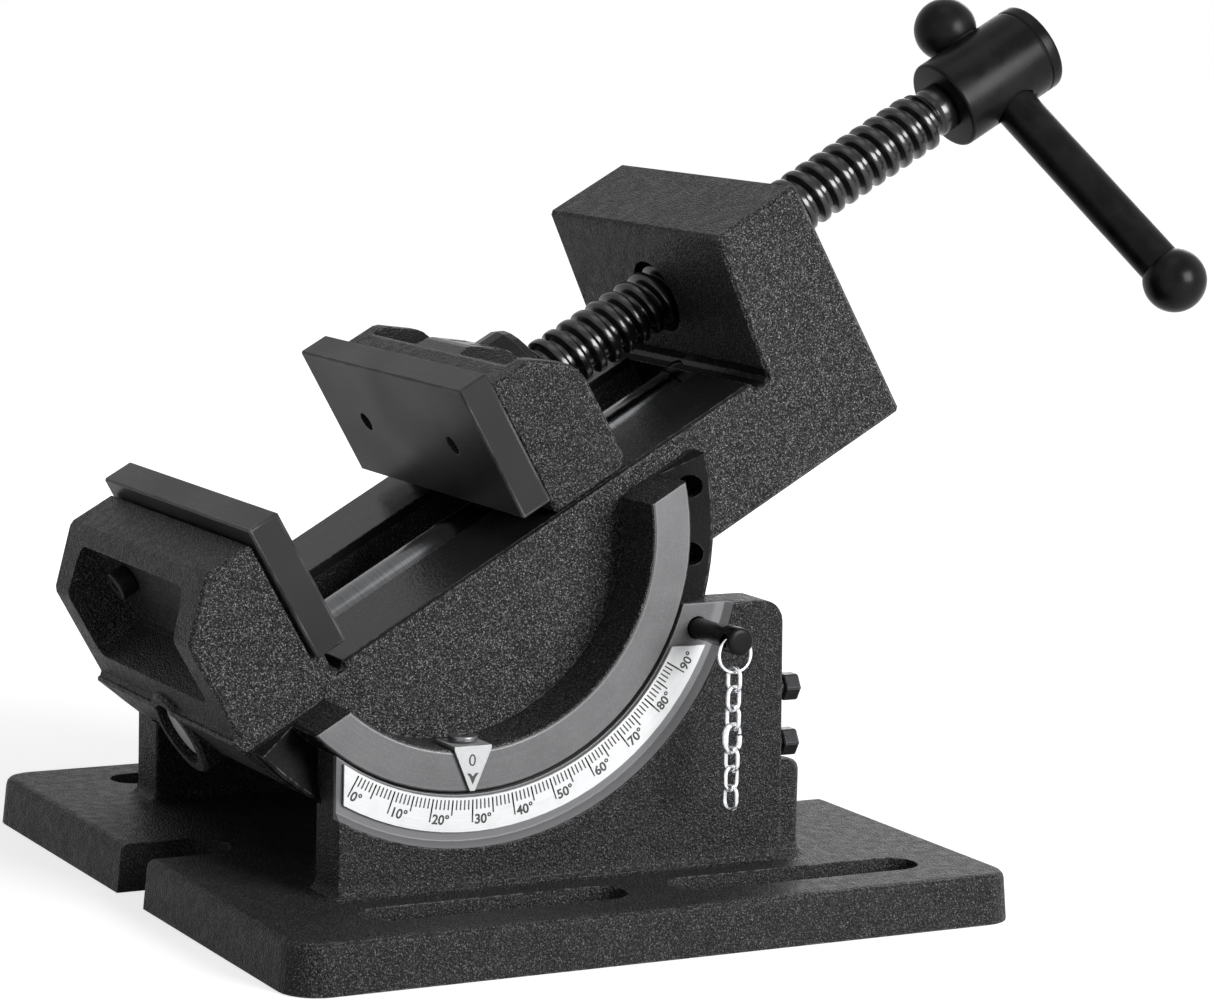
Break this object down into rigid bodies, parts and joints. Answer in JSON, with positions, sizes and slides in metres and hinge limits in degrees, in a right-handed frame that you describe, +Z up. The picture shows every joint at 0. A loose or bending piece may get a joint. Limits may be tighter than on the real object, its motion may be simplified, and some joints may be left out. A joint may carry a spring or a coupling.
{
  "type": "cradle angle vise",
  "caption": "Bench vise whose body rocks in a slotted cradle base, with tilt scale, index pin on a chain, guide rod, lead screw and sliding T-bar.",
  "frame": {"origin": "centre of the base's underside", "axes": "+Z up, +X along the base in the tilting plane towards the handle, +Y across the jaws, away from the scale"},
  "size_m": [0.306, 0.218, 0.2415],
  "materials": {
    "cast_black": "hammered grain paint",
    "scale_white": "printed satin",
    "shoe_brass": "turned",
    "bolt_steel": "black oxide",
    "cast_black_body": "smooth dark paint",
    "jaw_plate_steel": "ground, blackened",
    "ground_steel": "ground",
    "cast_black_jaw": "dark paint",
    "black_oxide_steel": "black oxide",
    "chain_nickel": "bright nickel"
  },
  "bodies": {
    "base": {"base_casting": "cast_black", "scale_plate": "scale_white", "clamp_shoe_upper": "shoe_brass", "clamp_shoe_lower": "shoe_brass"},
    "cradle": {"vise_body": "cast_black_body", "pointer": "scale_white", "pointer_screw": "bolt_steel", "fixed_jaw_plate": "jaw_plate_steel", "fixed_jaw_screw_near": "bolt_steel", "fixed_jaw_screw_far": "bolt_steel", "guide_rod": "ground_steel", "rod_set_screw": "bolt_steel"},
    "jaw": {"movable_jaw": "cast_black_jaw", "movable_jaw_plate": "jaw_plate_steel", "movable_jaw_screw_near": "bolt_steel", "movable_jaw_screw_far": "bolt_steel", "guide_block": "cast_black_jaw", "guide_block_screw_near": "bolt_steel", "guide_block_screw_far": "bolt_steel", "thrust_pin_near": "bolt_steel", "thrust_pin_far": "bolt_steel"},
    "screw": {"lead_screw": "black_oxide_steel", "handle_hub": "black_oxide_steel"},
    "bar": {"handle_bar": "black_oxide_steel", "handle_ball_near": "black_oxide_steel", "handle_ball_far": "black_oxide_steel"},
    "pin": {"index_pin": "black_oxide_steel"},
    "ring": {"chain_ring": "chain_nickel"},
    "strand": {"chain_link_01": "chain_nickel", "chain_link_02": "chain_nickel", "chain_link_03": "chain_nickel", "clasp_hook": "chain_nickel", "clasp_gate": "chain_nickel"},
    "tail": {"chain_link_04": "chain_nickel", "chain_link_05": "chain_nickel", "chain_link_06": "chain_nickel"},
    "bolt_upper": {"clamp_bolt_upper": "bolt_steel"},
    "bolt_lower": {"clamp_bolt_lower": "bolt_steel"}
  },
  "joints": [
    {"name": "tilt", "type": "hinge", "parent": "base", "child": "cradle", "pos_m": [-0.0379, 0, 0.1007], "axis": [0, -1, 0], "range_deg": [-30, 60]},
    {"name": "jaw_slide", "type": "slide", "parent": "cradle", "child": "jaw", "axis": [0.866, 0, 0.5], "range_m": [-0.0577, 0.04]},
    {"name": "screw_spin", "type": "hinge", "parent": "jaw", "child": "screw", "pos_m": [-0.0408, 0, 0.10572], "axis": [0.866, 0, 0.5], "range_deg": [-4100, 2840]},
    {"name": "bar_slide", "type": "slide", "parent": "screw", "child": "bar", "axis": [-0.3902, 0.6252, 0.6759], "range_m": [0, 0.0626]},
    {"name": "pin_slide", "type": "slide", "parent": "base", "child": "pin", "axis": [0, -1, 0], "range_m": [-0.01, 0.025]},
    {"name": "ring_swing", "type": "hinge", "parent": "pin", "child": "ring", "pos_m": [0.0275, -0.087, 0.0769], "axis": [1, 0, 0], "range_deg": [-60, 8]},
    {"name": "strand_swing", "type": "hinge", "parent": "ring", "child": "strand", "pos_m": [0.0275, -0.087, 0.0684], "axis": [0, 1, 0], "range_deg": [-30, 30]},
    {"name": "tail_swing", "type": "hinge", "parent": "strand", "child": "tail", "pos_m": [0.0275, -0.087, 0.04725], "axis": [0.9563, 0.2924, 0], "range_deg": [-25, 25]},
    {"name": "bolt_upper_turn", "type": "hinge", "parent": "base", "child": "bolt_upper", "pos_m": [0.054, -0.0614, 0.0582], "axis": [1, 0, 0], "range_deg": [0, 180]},
    {"name": "bolt_lower_turn", "type": "hinge", "parent": "base", "child": "bolt_lower", "pos_m": [0.054, -0.0614, 0.0432], "axis": [1, 0, 0], "range_deg": [0, 180]}
  ],
  "couplings": [
    {"joint": "screw_spin", "follows": "jaw_slide", "rad_per_m": 1236.8}
  ]
}
